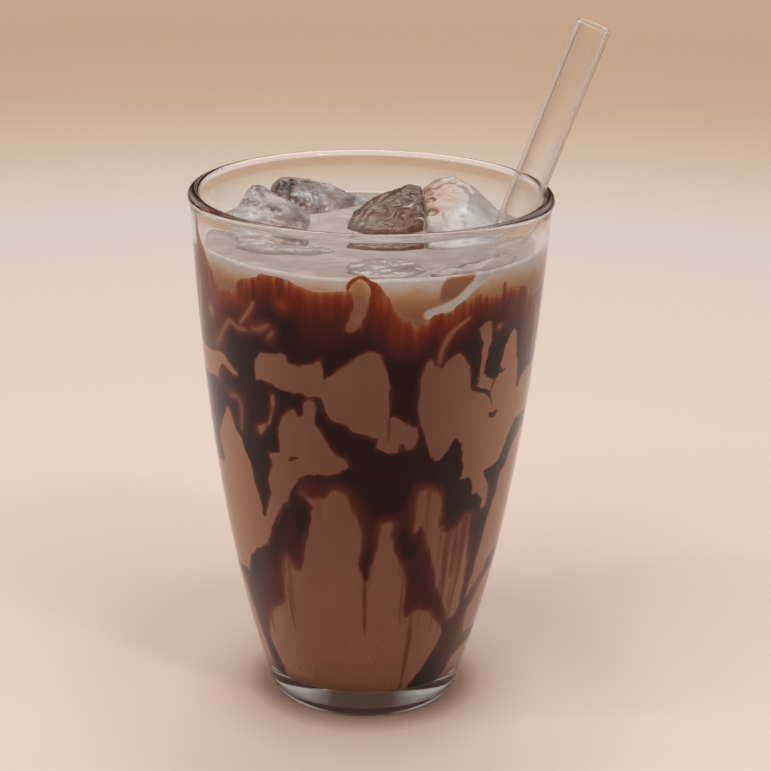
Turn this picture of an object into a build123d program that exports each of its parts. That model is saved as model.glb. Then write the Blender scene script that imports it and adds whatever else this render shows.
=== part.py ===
from build123d import *
import math
import os

# Iced coffee in a tall tapered tumbler with a glass straw and floating ice.
# Millimetres. +Z is up, the glass stands on Z = 0 and its axis is the Z axis.
# The straw leans over the rim towards +X, and -Y is the front.

# ---- tumbler ----
height = 129.0             # foot to the top of the rim
rim_radius = 43.5          # outside of the rim bead
bead_radius = 1.5          # round section of the rim bead
bead_overhang = 0.7        # how far the bead stands out past the wall below it
belly_radius = 38.8        # control point of the curved wall, outside
belly_height = 47.7        # height of that control point
foot_radius = 24.0         # where the wall meets the rounded heel
heel_height = 2.5          # height of the heel's rounding
contact_radius = 21.8      # flat underside that the glass rests on
heel_bulge = 0.5           # how far the heel's arc stands out from its chord
floor_thickness = 7.0      # thick glass base under the drink
wall_foot = 3.0            # wall thickness at the floor
wall_belly = 2.6           # wall thickness at the belly's control point
well_corner = 4.0          # rounding between the floor and the wall inside
bead_flare = 3.2           # height over which the wall swells into the bead

# ---- drink ----
headroom = 11.2            # rim down to the liquid's surface

# ---- glass straw ----
straw_radius = 4.25        # outside
straw_wall = 1.1
straw_length = 170.1
straw_end_round = 0.45     # fire-polished ends
straw_foot_radius = 5.7    # how far from the axis the straw's foot stands
straw_foot_azimuth = 164.0     # degrees from +X, counter-clockwise
straw_rim_azimuth = -3.9       # degrees, where it leans on the rim
seat_clearance = 0.1       # straw to rim bead and straw to floor

# ---- ice ----
ice_layout_radius = 38.5   # well radius that the cube sizes and places below are drawn for
ice_fit_depth = 18.0       # below the surface: the well is measured here to scale the cubes
ice_edge_radius = 2.6      # melted edges
ice_taper = 0.90           # a moulded cube's small end against its large end
ice_dimple_depth = 1.2     # hollow in a moulded cube's top
ice_clearance = 0.4        # cube to cube, cube to wall and cube to straw

# name: (centre x, centre y), (width, depth, height), rise of the top over the surface,
# spin about Z, lean about X, lean about Y (degrees)
ice_cubes = {
    "ice_left_front": ((-24.0, 4.0), (18.5, 20.0, 21.0), 6.8, 18.0, 8.0, 5.0),
    "ice_left_back": ((-15.0, 25.6), (19.0, 13.0, 19.0), 6.2, 28.0, -4.0, 12.0),
    "ice_right": ((19.6, 13.8), (20.5, 19.5, 21.0), 7.0, 42.0, 9.0, -2.0),
    "ice_middle": ((1.5, 12.5), (16.0, 20.0, 18.0), 4.5, 4.0, 10.0, -6.0),
}

bead_ring_radius = rim_radius - bead_radius
bead_height = height - bead_radius
wall_rim = 2 * bead_radius - bead_overhang     # the bead is flush inside
flare_height = bead_height - bead_flare
surface_height = height - headroom


def bezier_point(points, t):
    """Point of a quadratic curve given by three (radius, height) points."""
    (r0, z0), (r1, z1), (r2, z2) = points
    s = 1 - t
    return (s * s * r0 + 2 * s * t * r1 + t * t * r2,
            s * s * z0 + 2 * s * t * z1 + t * t * z2)


def bezier_radius(points, z):
    """Radius of the curve at height z, by halving."""
    low, high = 0.0, 1.0
    for _ in range(50):
        middle = (low + high) / 2
        if bezier_point(points, middle)[1] < z:
            low = middle
        else:
            high = middle
    return bezier_point(points, low)[0]


outer_wall = [(foot_radius, heel_height), (belly_radius, belly_height),
              (rim_radius - bead_overhang, flare_height)]
well_radius = bezier_radius(outer_wall, floor_thickness) - wall_foot
inner_wall = [(well_radius, floor_thickness), (belly_radius - wall_belly, belly_height),
              (rim_radius - bead_overhang - wall_rim, bead_height)]


def well_profile(clearance=0.0):
    """Half section of the space inside the glass, from the floor to the bead's height."""
    wall = [(r - clearance, z) for r, z in inner_wall]
    edges = Polyline(wall[-1], (0, bead_height), (0, floor_thickness), wall[0])
    profile = make_face(edges + Bezier(*wall))
    corner = profile.vertices().sort_by(Axis.Y)[:2].sort_by(Axis.X)[-1]
    return fillet(corner, well_corner)


def turned(profile):
    """Solid of revolution of a half section drawn as (radius, height)."""
    return revolve(Plane.XZ * profile, Axis.Z)


def make_glass():
    """Tumbler in one half section: foot, heel, curved wall, flare and the round bead."""
    heel = SagittaArc((contact_radius, 0), outer_wall[0], -heel_bulge)
    wall = Bezier(*outer_wall)
    wall_end = outer_wall[-1]
    flare_rise = wall % 1 * (bead_flare / 2)
    bead_side = (rim_radius, bead_height)
    flare = Bezier(wall_end, (wall_end[0] + flare_rise.X, wall_end[1] + flare_rise.Y),
                   (rim_radius, bead_height - bead_flare / 3), bead_side)
    bead_inside = (rim_radius - 2 * bead_radius, bead_height)
    bead = ThreePointArc(bead_side, (bead_ring_radius, height), bead_inside)
    closing = Polyline(bead_inside, (0, bead_height), (0, 0), (contact_radius, 0))
    return turned(make_face(heel + wall + flare + bead + closing) - well_profile())


def straw_axis():
    """Foot centre and unit direction of the straw, seated on the floor and on the rim bead."""
    foot_angle = math.radians(straw_foot_azimuth)
    rim_angle = math.radians(straw_rim_azimuth)
    lean = math.radians(20)
    for _ in range(8):
        lift = straw_radius * math.sin(lean) + seat_clearance
        foot = Vector(straw_foot_radius * math.cos(foot_angle),
                      straw_foot_radius * math.sin(foot_angle), floor_thickness + lift)
        reach = (straw_radius + bead_radius + seat_clearance) / math.cos(lean)
        over = bead_ring_radius - reach
        rest = Vector(over * math.cos(rim_angle), over * math.sin(rim_angle), bead_height)
        direction = (rest - foot).normalized()
        lean = math.acos(direction.Z)
    return foot, direction


def straw_solid(radius, length):
    foot, direction = straw_axis()
    return extrude(Plane(foot, z_dir=direction) * Circle(radius), length)


def make_straw():
    tube = straw_solid(straw_radius, straw_length) \
        - straw_solid(straw_radius - straw_wall, straw_length)
    end_edges = tube.edges().filter_by(GeomType.CIRCLE)
    return fillet(end_edges, straw_end_round)


def ice_cube(width, depth, tall, rounding):
    """Moulded cube about its centre: large end up, melted edges, a shallow dimple on top."""
    bottom = Pos(0, 0, -tall / 2) * Rectangle(width * ice_taper, depth * ice_taper)
    top = Pos(0, 0, tall / 2) * Rectangle(width, depth)
    cube = loft([bottom, top])
    cube = fillet(cube.edges(), rounding)
    dimple_width = min(width, depth) / 2 - rounding
    ball = (dimple_width ** 2 + ice_dimple_depth ** 2) / (2 * ice_dimple_depth)
    return cube - Pos(0, 0, tall / 2 + ball - ice_dimple_depth) * Sphere(ball)


def place_ice(spot, size, rise, spin, lean_x, lean_y):
    fit_radius = bezier_radius(inner_wall, surface_height - ice_fit_depth)
    scale = fit_radius / ice_layout_radius
    width, depth, tall = (scale * value for value in size)
    centre = (scale * spot[0], scale * spot[1], surface_height + rise - tall / 2)
    return Pos(*centre) * Rot(0, 0, spin) * Rot(lean_x, lean_y, 0) \
        * ice_cube(width, depth, tall, ice_edge_radius)


def make_ice():
    """The floating cubes, kept clear of the wall, of the straw and of each other."""
    room = turned(well_profile(ice_clearance))
    straw_room = straw_solid(straw_radius + ice_clearance, straw_length)
    cubes = {}
    for name, placing in ice_cubes.items():
        cube = (place_ice(*placing) & room) - straw_room
        for other in ice_cubes:
            if other in cubes:
                cube -= grown(ice_cubes[other])
        cubes[name] = cube
    return cubes


def grown(placing):
    """A placed cube made larger by the clearance, to cut the next cube back from it."""
    spot, size, rise, spin, lean_x, lean_y = placing
    larger = tuple(value + 2 * ice_clearance for value in size)
    return place_ice(spot, larger, rise + ice_clearance, spin, lean_x, lean_y)


def make_drink(straw, cubes):
    """The liquid up to its surface, cut round the straw's tube and the ice."""
    slab_side = 4 * rim_radius
    slab = Box(slab_side, slab_side, surface_height, align=(Align.CENTER, Align.CENTER, Align.MIN))
    drink = (turned(well_profile()) & slab) - straw
    for cube in cubes.values():
        drink -= cube
    return drink


glass = make_glass()
straw = make_straw()
cubes = make_ice()
parts = {"glass": glass, "straw": straw, "drink": make_drink(straw, cubes), **cubes}

os.makedirs("parts", exist_ok=True)
for name, part in parts.items():
    export_step(part, f"parts/{name}.step")
    print(name, len(part.solids()), round(part.volume / 1000, 2), "ml")
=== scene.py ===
import math

import bmesh
import bpy
import numpy as np
from mathutils import Matrix, Vector


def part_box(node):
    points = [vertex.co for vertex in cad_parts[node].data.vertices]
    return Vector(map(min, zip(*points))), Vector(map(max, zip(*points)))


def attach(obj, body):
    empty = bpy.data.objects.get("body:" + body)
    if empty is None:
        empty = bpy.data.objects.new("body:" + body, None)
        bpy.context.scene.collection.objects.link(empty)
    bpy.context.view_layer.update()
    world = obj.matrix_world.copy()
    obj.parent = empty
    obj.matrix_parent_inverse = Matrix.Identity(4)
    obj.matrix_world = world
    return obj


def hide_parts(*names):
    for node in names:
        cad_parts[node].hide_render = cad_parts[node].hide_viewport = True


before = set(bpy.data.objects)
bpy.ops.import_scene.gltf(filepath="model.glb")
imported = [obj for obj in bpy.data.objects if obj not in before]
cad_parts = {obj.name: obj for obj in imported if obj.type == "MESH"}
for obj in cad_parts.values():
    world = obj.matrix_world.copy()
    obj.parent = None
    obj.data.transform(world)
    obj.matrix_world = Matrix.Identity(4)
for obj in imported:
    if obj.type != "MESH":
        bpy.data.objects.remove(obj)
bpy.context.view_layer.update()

# Iced coffee in a tumbler: lengths are in millimetres and scaled by MM, azimuths in degrees
# about the glass's axis, 0 at the front (-Y) and positive to the right (+X).
MM = 0.001

# ---- sizes read from the frame ----
glass_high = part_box("glass")[1]
drink_low, drink_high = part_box("drink")
height = glass_high.z / MM
rim_radius = glass_high.x / MM
floor_top = drink_low.z / MM
surface = drink_high.z / MM

# ---- sizes of the tumbler's section ----
foot_radius = 24.0
heel_height = 2.5
contact_radius = 21.8
belly_radius = 38.8
belly_height = 47.7
bead_radius = 1.5
bead_overhang = 0.7
bead_flare = 3.2
wall_foot = 3.0
wall_belly = 2.6
corner_reach = 4.4
punt_depth = 0.5
heel_pull = (0.3, 0.4)       # how far the heel's and the flare's control points stand off
flare_pull = (0.35, 1.2)
corner_power = 2.2           # how square the corner at the floor is
bead_height = height - bead_radius
flare_height = bead_height - bead_flare
glass_sides = 256

# ---- how far the fillings reach into the wall ----
drink_into_wall = 0.05
syrup_into_wall = 0.12


def rgb(red, green, blue, gain=1.0):
    """Linear RGBA of an sRGB colour given in 0-255, brightened by gain."""
    channels = []
    for value in (red, green, blue):
        value /= 255
        linear = value / 12.92 if value <= 0.04045 else ((value + 0.055) / 1.055) ** 2.4
        channels.append(min(1.0, linear * gain))
    return (*channels, 1.0)


def smoothstep(low, high, value):
    t = np.clip((value - low) / (high - low), 0, 1)
    return t * t * (3 - 2 * t)


def lattice(x, y, seed):
    """Repeatable value from 0 to 1 at whole-number places."""
    value = np.sin(x * 127.1 + y * 311.7 + seed * 74.7) * 43758.5453
    return value - np.floor(value)


def ripple(x, y, seed):
    """Smooth value noise from -1 to 1."""
    column, row = np.floor(x), np.floor(y)
    u, v = x - column, y - row
    u, v = u * u * (3 - 2 * u), v * v * (3 - 2 * v)
    low = lattice(column, row, seed) * (1 - u) + lattice(column + 1, row, seed) * u
    high = lattice(column, row + 1, seed) * (1 - u) + lattice(column + 1, row + 1, seed) * u
    return 2 * (low * (1 - v) + high * v) - 1


# ---- the tumbler's two curved walls ----

def bezier(points, steps):
    """Quadratic curve through (radius, height) control points, as an array."""
    t = np.linspace(0, 1, steps)[:, None]
    first, middle, last = (np.array(p, float) for p in points)
    return (1 - t) ** 2 * first + 2 * t * (1 - t) * middle + t * t * last


outer_wall = bezier([(foot_radius, heel_height), (belly_radius, belly_height),
                     (rim_radius - bead_overhang, flare_height)], 400)
well_radius = np.interp(floor_top, outer_wall[:, 1], outer_wall[:, 0]) - wall_foot
inner_wall = bezier([(well_radius, floor_top), (belly_radius - wall_belly, belly_height),
                     (rim_radius - 2 * bead_radius, bead_height)], 400)


def inner_radius(z):
    """Radius of the glass's inner wall at height z, with the rounded corner at the floor."""
    wall = np.interp(z, inner_wall[:, 1], inner_wall[:, 0])
    depth = np.clip((floor_top + corner_reach - z) / corner_reach, 0, 1)
    return wall - corner_reach * (1 - np.sqrt(np.clip(1 - depth ** corner_power, 0, 1)))


def glass_section():
    """Closed half section of the glass, from the axis under the foot to the axis on the floor."""
    punt_radii = np.linspace(0, contact_radius, 9)
    punt = [(r, punt_depth * (1 - (r / contact_radius) ** 4)) for r in punt_radii]
    heel_turn = (foot_radius - heel_pull[0], heel_pull[1])
    heel = bezier([(contact_radius, 0), heel_turn, (foot_radius, heel_height)], 8)[1:-1]
    wall = outer_wall[::8]
    side_turn = (rim_radius - flare_pull[0], bead_height - flare_pull[1])
    side = bezier([outer_wall[-1], side_turn, (rim_radius, bead_height)], 8)[1:]
    ring = rim_radius - bead_radius
    turn = np.linspace(0, math.pi, 16)[1:]
    bead = [(ring + bead_radius * math.cos(a), bead_height + bead_radius * math.sin(a)) for a in turn]
    rows = np.linspace(bead_height - bead_radius, floor_top + corner_reach, 60)
    corner = floor_top + corner_reach * (1 - np.sin(np.linspace(0, math.pi / 2, 14)[1:]))
    inside = [(inner_radius(z), z) for z in (*rows, *corner)]
    floor = [(r, floor_top) for r in np.linspace(inside[-1][0], 0, 6)[1:]]
    return [tuple(map(float, p)) for p in (*punt, *heel, *wall, *side, *bead, *inside, *floor)]


# ---- meshes ----

def mesh_object(name, vertices, faces):
    """New smooth object from points in millimetres."""
    mesh = bpy.data.meshes.new(name)
    mesh.from_pydata((np.asarray(vertices, float) * MM).tolist(), [], faces)
    mesh.update()
    mesh.validate()
    mesh.shade_smooth()
    piece = bpy.data.objects.new(name, mesh)
    bpy.context.scene.collection.objects.link(piece)
    return piece


def add_values(piece, name, values):
    """Stores one number per vertex, which the material reads."""
    layer = piece.data.attributes.new(name, "FLOAT", "POINT")
    layer.data.foreach_set("value", np.asarray(values, np.float32))


def around(azimuth):
    """Unit directions (x, y) at azimuths in degrees."""
    turn = np.radians(azimuth)
    return np.sin(turn), -np.cos(turn)


def ring_mesh(name, rings, azimuths):
    """Closed skin over rings of (radius, height array or number), with a pole at each end."""
    x, y = around(azimuths)
    count = len(azimuths)
    vertices = [(0, 0, float(np.mean(rings[0][1])))]
    for radius, z in rings[1:-1]:
        vertices.extend(zip(radius * x, radius * y, np.broadcast_to(z, count)))
    vertices.append((0, 0, float(np.mean(rings[-1][1]))))
    last = len(vertices) - 1
    faces = [(0, 1 + (i + 1) % count, 1 + i) for i in range(count)]
    for row in range(len(rings) - 3):
        a, b = 1 + row * count, 1 + (row + 1) * count
        for i in range(count):
            j = (i + 1) % count
            faces.append((a + i, a + j, b + j, b + i))
    top = 1 + (len(rings) - 3) * count
    faces.extend((last, top + i, top + (i + 1) % count) for i in range(count))
    return mesh_object(name, vertices, faces)


def make_glass():
    azimuths = np.arange(0, 360, 360 / glass_sides)
    return ring_mesh("glass_tumbler", glass_section(), azimuths)


# ---- chocolate syrup: where it lies on the inside of the wall ----
# Outlines are (azimuth, height) points of a smooth closed curve. Each entry is a place where
# the syrup has run off and the coffee shows; softness is how many millimetres the syrup takes
# to reach its full depth beside it.

above_syrup = [
    (-100, 116.4), (-77, 117.6), (-74.4, 121), (-73.6, 125.4), (-72.2, 125.6), (-71, 121), (-67, 118),
    (-62.5, 114.4), (-57, 111.7), (-53.8, 111), (-50.2, 111.6), (-47, 114), (-39.7, 115.8),
    (-34.3, 117.2), (-29.7, 117), (-24.7, 116.2), (-18, 115), (-10, 115.2), (-6, 116), (0, 117.8),
    (3, 117), (6.4, 114.5), (7.5, 112), (11.2, 109.7), (15.3, 107.7), (21.6, 109.5), (27, 110.4),
    (31.2, 112.2), (36.2, 113.4), (40.7, 112.2), (45.3, 112.2), (48, 114.6), (50.7, 112.9),
    (55.7, 112.5), (61.2, 111.5), (66.2, 109.4), (72.5, 109.2), (80, 110.6), (100, 112), (120, 114),
    (120, 150), (-120, 150), (-120, 120)]

windows = {
    "drip": (1.5, [
        (-2.9, 118.8), (-5.6, 117), (-5.9, 114.3), (-5.2, 111.5), (-7.2, 107.5), (-6.5, 106),
        (-3.8, 106.5), (-2, 108.4), (-0.6, 111.5), (0, 116.5)]),
    "left_band": (1.5, [
        (-94, 93), (-73, 93), (-61, 94.6), (-55, 93), (-50.6, 90.8), (-54, 90.2), (-60, 91.1),
        (-63.4, 88.2), (-67, 87), (-94, 86.5)]),
    "upper": (0.9, [
        (-41.5, 94.7), (-39.3, 97.5), (-33.8, 98.4), (-29, 98.9), (-26.5, 96.9), (-20.6, 97.2),
        (-15.8, 98.4), (-14.9, 94), (-12.9, 95.2), (-6, 98.4), (-3.4, 100.4), (0, 101.4), (2.5, 101.1),
        (4.4, 99.7), (6.9, 93.8), (7.3, 88), (6.6, 82), (3.9, 80.4), (-0.2, 80.9), (-6.5, 82.7),
        (-10.6, 83.8), (-13.4, 85.6), (-14.7, 87.5), (-17.9, 89.7), (-30, 90), (-38.4, 91.4),
        (-41.3, 91.2)]),
    "hook": (1.3, [
        (-34.7, 87.9), (-35.2, 84.3), (-36.5, 81.5), (-39.7, 80.2), (-42.5, 78.8), (-41, 77),
        (-37, 79.7), (-34.7, 82.9), (-33.4, 87.5)]),
    "left": (1.1, [
        (-94, 62), (-72, 64), (-68.4, 66.5), (-69.7, 69.7), (-68.8, 72.5), (-64.7, 76.1),
        (-58.8, 80.6), (-56.5, 78.8), (-54.7, 76.1), (-51, 73.4), (-47.5, 67.5), (-45, 60.4),
        (-44, 55.8), (-43.4, 55.2), (-42.3, 56.3), (-40, 60.4), (-38.6, 62.6), (-39.3, 63.8),
        (-38.4, 67.5), (-36.5, 70.6), (-37.9, 72.5), (-35.6, 73.4), (-32.7, 74.3), (-33, 77.9),
        (-32, 81), (-30.2, 83.8), (-26, 85.5), (-24.5, 84.2), (-22.5, 85), (-22.2, 87.5),
        (-19.5, 88.6), (-17.7, 87.6), (-18.4, 82.9), (-16.5, 81.5), (-12, 76.5), (-7.2, 73.8),
        (-7.4, 72.3), (-12.9, 70.2), (-21.5, 69.5), (-25.2, 67.9), (-29.5, 64.4), (-30.8, 61.6),
        (-33.6, 60), (-38.6, 54.2), (-44, 48), (-51.4, 44.5), (-57.7, 41.7), (-61.6, 37.2),
        (-65, 36.7), (-94, 37.5)]),
    "notch": (0.9, [
        (7.3, 85.2), (14.8, 83.1), (17.5, 82.2), (17.8, 79.7), (15.7, 77.2), (13.5, 77.2),
        (11.9, 78.4), (10.3, 76.3), (8, 76.3), (4.4, 77.2), (3.9, 79.3)]),
    "right": (1.0, [
        (20.7, 99), (18.5, 97.5), (17.5, 92.9), (17.8, 86.5), (19.4, 81), (23.5, 74.7), (26.4, 73.6),
        (29.4, 75.2), (31.2, 77.5), (33.2, 78.1), (34.8, 77), (37.3, 71.1), (37.5, 68.4), (36.8, 67),
        (39.8, 67), (42.5, 65.9), (44.5, 62.2), (46.8, 61.7), (49.5, 60), (50.9, 57.2), (52.7, 57.2),
        (54.3, 59), (53.6, 62.6), (49.4, 66.1), (48.9, 67.5), (57, 68.4), (61.2, 72.9), (65.7, 77),
        (70.3, 77.7), (94, 79), (94, 90), (74.8, 89.7), (65.7, 88.4), (63.5, 86.5), (61.2, 93.4),
        (58, 100.2), (56.2, 102.2), (53.5, 100.2), (51.2, 97.5), (49.8, 92), (47, 91.3), (43.9, 92.5),
        (42.5, 94.7), (44.1, 101.5), (44.1, 104.7), (42.5, 106.3), (38.5, 104.7), (40.3, 102),
        (40.7, 99.3), (39.8, 92), (38.4, 91), (36.8, 92.5), (36.2, 95.2), (34.8, 97), (31.6, 99.7),
        (27, 98.4), (24.4, 96.5), (22.5, 97.4)]),
    "right_low": (2.4, [
        (60.5, 64), (60, 59.5), (57.7, 55), (55.5, 45.8), (53.6, 36.7), (53.2, 32.2), (54.5, 31.7),
        (62.7, 36.7), (70.5, 41.3), (94, 46), (94, 74), (78, 73.8), (72.5, 72.5), (68, 70.2),
        (63.5, 65.6)]),
    "foot": (2.7, [
        (-25.2, 64.5), (-20, 63.4), (-16, 64.3), (-12, 65.9), (-8.4, 65.6), (-6.5, 64.3), (-4, 60.4),
        (-1.8, 56.7), (-0.9, 53), (-2.2, 46.7), (-0.7, 43), (0.1, 40.4), (1.8, 44), (4, 50.4),
        (5.5, 56.7), (6.6, 57.8), (9, 58), (11, 57.2), (11, 53.5), (13.6, 47.6), (16, 45.4),
        (17.3, 42.6), (18.2, 33), (19.5, 31.3), (23.6, 32.4), (30, 31.2), (36, 28), (40.5, 25.4),
        (41, 21.7), (35.5, 15.8), (30, 11.3), (27.3, 9), (26, 2), (-52, 2), (-51.8, 9), (-51.4, 11.3),
        (-55, 15.8), (-56.8, 18.5), (-53.2, 24), (-46.8, 29.5), (-39.5, 32.6), (-37.3, 39.9),
        (-36.4, 43.5), (-34, 45.8), (-31.8, 44), (-29.5, 42.6), (-27.3, 44.5), (-23.6, 53.5),
        (-21.4, 57.6), (-21, 61.3)]),
    "tongue": (2.8, [
        (19.5, 65), (19, 60), (19, 54.4), (21, 55), (22.3, 55.4), (26.4, 49.5), (30, 43.5),
        (33.2, 37.2), (39, 31.3), (41.8, 28), (44, 27.2), (47.7, 27.6), (49.5, 30.4), (49, 41.3),
        (46.8, 50.4), (45.9, 55), (44.5, 56.7), (42.3, 57), (37.7, 54), (33.2, 53.5), (31.8, 55.4),
        (30, 56), (29.5, 63), (25, 65.4), (22, 65.8)]),
    "right_foot": (3.6, [(57, 27), (62, 31), (70, 35), (94, 38), (94, 20), (70, 19.5), (60, 20.5)]),
    "right_heel": (3.6, [(56, 13.5), (75, 16), (94, 16), (94, 2), (54, 2)]),
    "left_foot": (5.0, [(-94, 34), (-72, 32), (-67.5, 27), (-64.5, 19), (-61.5, 9), (-61, 2), (-94, 2)]),
}

# Thin lines where the coffee shows: half width in millimetres, then the line's points.
pale_lines = [
    (0.35, [(-47, 103.8), (-43.5, 106.5), (-40.2, 109.7)]),
    (0.55, [(-57.5, 99.7), (-54.7, 102), (-52, 103.4), (-48.4, 102.5), (-44.3, 102.7)]),
    (0.5, [(-41, 103.4), (-38.4, 103.6), (-36, 104.5), (-34.5, 105.2)]),
    (0.4, [(-34.7, 102), (-32.7, 103.8)]),
    (0.5, [(-62.5, 96), (-59.3, 97.9), (-57, 100.2)]),
    (0.9, [(-65.5, 103.6), (-64, 104)]),
    (0.5, [(75.5, 92), (74.5, 98), (72.5, 105)]),
    (0.6, [(-79, 96), (-77, 103), (-74, 110)]),
    (0.5, [(23.9, 97.9), (24.4, 100.6), (25.7, 102.9), (28, 105.2), (34, 108)]),
    (0.6, [(-55.2, 84.3), (-52.5, 84.7), (-50.2, 83.4), (-50.2, 80.2), (-51, 77)]),
    (0.5, [(47.2, 103.8), (47.8, 104.2)]),
]

# Thin lines of syrup across the pale places: half width, depth at the middle, points.
syrup_lines = [
    (0.75, 0.75, [
        (37.6, 101), (37.3, 96.5), (37.4, 92.5), (38.5, 90.2), (43.5, 88.8), (45.7, 87.7), (48.5, 84.5)]),
    (0.5, 0.6, [(46.5, 88), (49.6, 93), (51.4, 92.4), (53.2, 92.6)]),
    (0.7, 0.5, [(47, 82.6), (49.5, 81.6), (51.4, 82.6)]),
    (0.6, 0.3, [(7.6, 86), (7.2, 78.6)]),
    (0.7, 0.3, [(-17.4, 88.6), (-14.2, 85)]),
    (0.8, 0.25, [(0.1, 44), (0, 36), (0.4, 26)]),
    (1.0, 0.16, [(22, 34), (22.4, 20), (22, 6)]),
    (1.0, 0.17, [(34.5, 56), (35, 45), (36.8, 35)]),
    (0.9, 0.13, [(39, 56), (39.2, 40)]),
    (0.7, 0.5, [(-29.4, 72.2), (-27, 73.2), (-24.6, 73.4)]),
    (0.5, 0.2, [(-7.4, 114.2), (-6.2, 117.2), (-3, 118.9), (0.2, 117.6), (2, 115)]),
]

# Runs of syrup at the sides, where the front's pattern and the back's meet.
side_lines = [
    (2.4, 0.85, [(79, 78), (86, 68), (94, 57), (101, 44), (112, 31)]),
    (1.9, 0.75, [(86, 99), (91, 88), (88, 76), (91, 62)]),
    (2.0, 0.8, [(-81, 64), (-88, 54), (-93, 42), (-101, 34), (-113, 30)]),
    (1.8, 0.75, [(-83, 97), (-89, 87), (-97, 78), (-105, 62)]),
]

stained = ("foot", "tongue")    # windows with thin runs of syrup down them

# Places where the syrup is thin and shows red: azimuth, height, reach in degrees and
# millimetres, and the share of its depth that is lost, or won where it is negative.
thin_places = [
    (-29, 110.5, 3.5, 2.5, 0.8), (-70, 105, 12, 12, 0.45), (-62, 97, 9, 6, 0.35),
    (-41, 104, 4, 3, 0.4), (-60, 108, 5, 5, 0.4), (26.5, 60, 5, 7, 0.7), (30, 27, 11, 6, 0.65),
    (-33, 43, 4, 3.5, 0.6), (2.5, 114, 4, 2.5, 0.5), (66, 98, 8, 8, 0.5), (-20, 66.5, 7, 2.2, 0.35),
    (-57, 24, 8, 12, 0.45), (48, 16, 6, 8, 0.5), (60, 24, 12, 12, 0.5), (-45, 37, 10, 8, 0.45),
    (60, 33, 10, 4, 0.4), (52, 63, 4, 4, 0.35), (22, 46, 3, 6, 0.3), (-30, 54, 4, 5, 0.3),
    (55, 107, 6, 4, 0.2), (-33, 50, 4, 5, 0.35), (-44, 40, 5, 5, 0.35), (-50, 32, 6, 8, 0.35),
    (-64, 100, 8, 10, 0.25), (24, 38, 4, 5, 0.3), (-13, 67.5, 5, 1.8, 0.4), (28, 106, 4, 3, 0.3),
    (-46, 109, 5, 3, 0.3), (44, 107.5, 7, 3, -0.45), (-58, 84.5, 8, 4, 0.4), (-36, 89.3, 5, 2, 0.4),
    (-13.5, 84, 2.5, 3.5, 0.4)]

arc_per_degree = 0.62      # millimetres of wall for one degree, used for the pattern's distances
pattern_end = 92.0         # azimuth where the front's outlines end
blend_sides = (74, 104)    # azimuths between which the front's pattern turns into the back's
far_off = 9.0              # stands for any distance away from a thin line
line_reach = 4.0           # how far round a thin line its distance is looked for
line_taper = 0.75          # share of its width that a line loses towards its ends

# Noise on the wall: the layers of each kind, with cells so many degrees wide and millimetres
# tall, a seed and a height.
wall_noises = {
    "brushed": [(1.3, 7, 3, 0.5), (0.65, 4, 4, 0.45)],
    "wander": [(4, 3.2, 5, 0.28)],
    "side wander": [(4, 3.2, 5, 0.3)],
    "torn": [(1.8, 1.6, 16, 0.30), (0.9, 0.85, 17, 0.14)],
    "rough": [(8, 30, 15, 1)],
    "top edge": [(2.6, 9, 6, 0.4)],
    "streak": [(2.4, 26, 11, 1), (0.9, 13, 12, 0.45)],
    "uneven": [(7, 6, 13, 1)],
    "blotch": [(9, 8, 8, 0.2), (2.5, 15, 14, 0.08)],
}

# How the syrup thins, in millimetres and in shares from 0 to 1.
soft_top = 10.5            # how far below its top edge it reaches full depth
deepening = 0.8            # power by which it deepens away from an edge
line_deepening = 0.6       # the same across a thin line
brushed_depth = 0.17       # how much the brushed streaks change its depth
brushed_from = 3.0         # where below the top edge they start to fade
edge_spread = 0.16         # how much of its unevenness moves a window's edge
edge_wander, edge_brushed = 0.6, 0.15          # how much of each noise moves it
line_wander, line_torn, pale_wander = 0.35, 0.6, 0.5     # the same for the thin lines
brushed_least, brushed_more = 0.08, 0.36       # how much of the brushed noise moves the top edge
pale_line_depth = 0.05     # depth left in a pale line
pale_line_side = 2.2       # how far beside a pale line it is back to full depth
stain_depth = 0.2          # depth of a whole stain
stain_from = 0.25          # height of the streak noise from which there is a stain
stain_inward = 0.045       # how much less of it there is for each millimetre from the window's edge
stain_low, stain_high = 12, 40      # heights between which the stains fade on the way down
stain_loss = 0.7           # how much less of them there is at the foot
full_depth = 0.9           # middle of its blotches
side_thinning = 0.14       # depth lost at the sides

# How red its thin parts look, from 0 to 1.
least_warm = 0.10
collar_warm = 0.9          # added at the top edge
collar_fade = 8.0          # how far below the top edge that fades
window_warm = 0.05         # for each millimetre of a window's softness
window_fade = 3.5          # how far beside a window that fades
thin_warm = 0.4            # for each share of its depth that a thin place loses
stain_warm = 0.4           # of a whole stain
side_warm = 0.45           # added at the sides
glass_side, glass_back = (52, 84), (96, 128)    # azimuths where the sides begin and end
clean_from = 84            # azimuth from which none lies above the coffee
clean_drop = 0.2           # how far under the coffee's surface it stops there


def above_zero(value):
    """The value, or 0 where it is negative."""
    return np.clip(value, 0, None)


def wall_noise(kind, azimuth, z):
    """One kind of noise on the wall."""
    layers = wall_noises[kind]
    return sum(rise * ripple(azimuth / wide, z / tall, seed) for wide, tall, seed, rise in layers)


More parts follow.
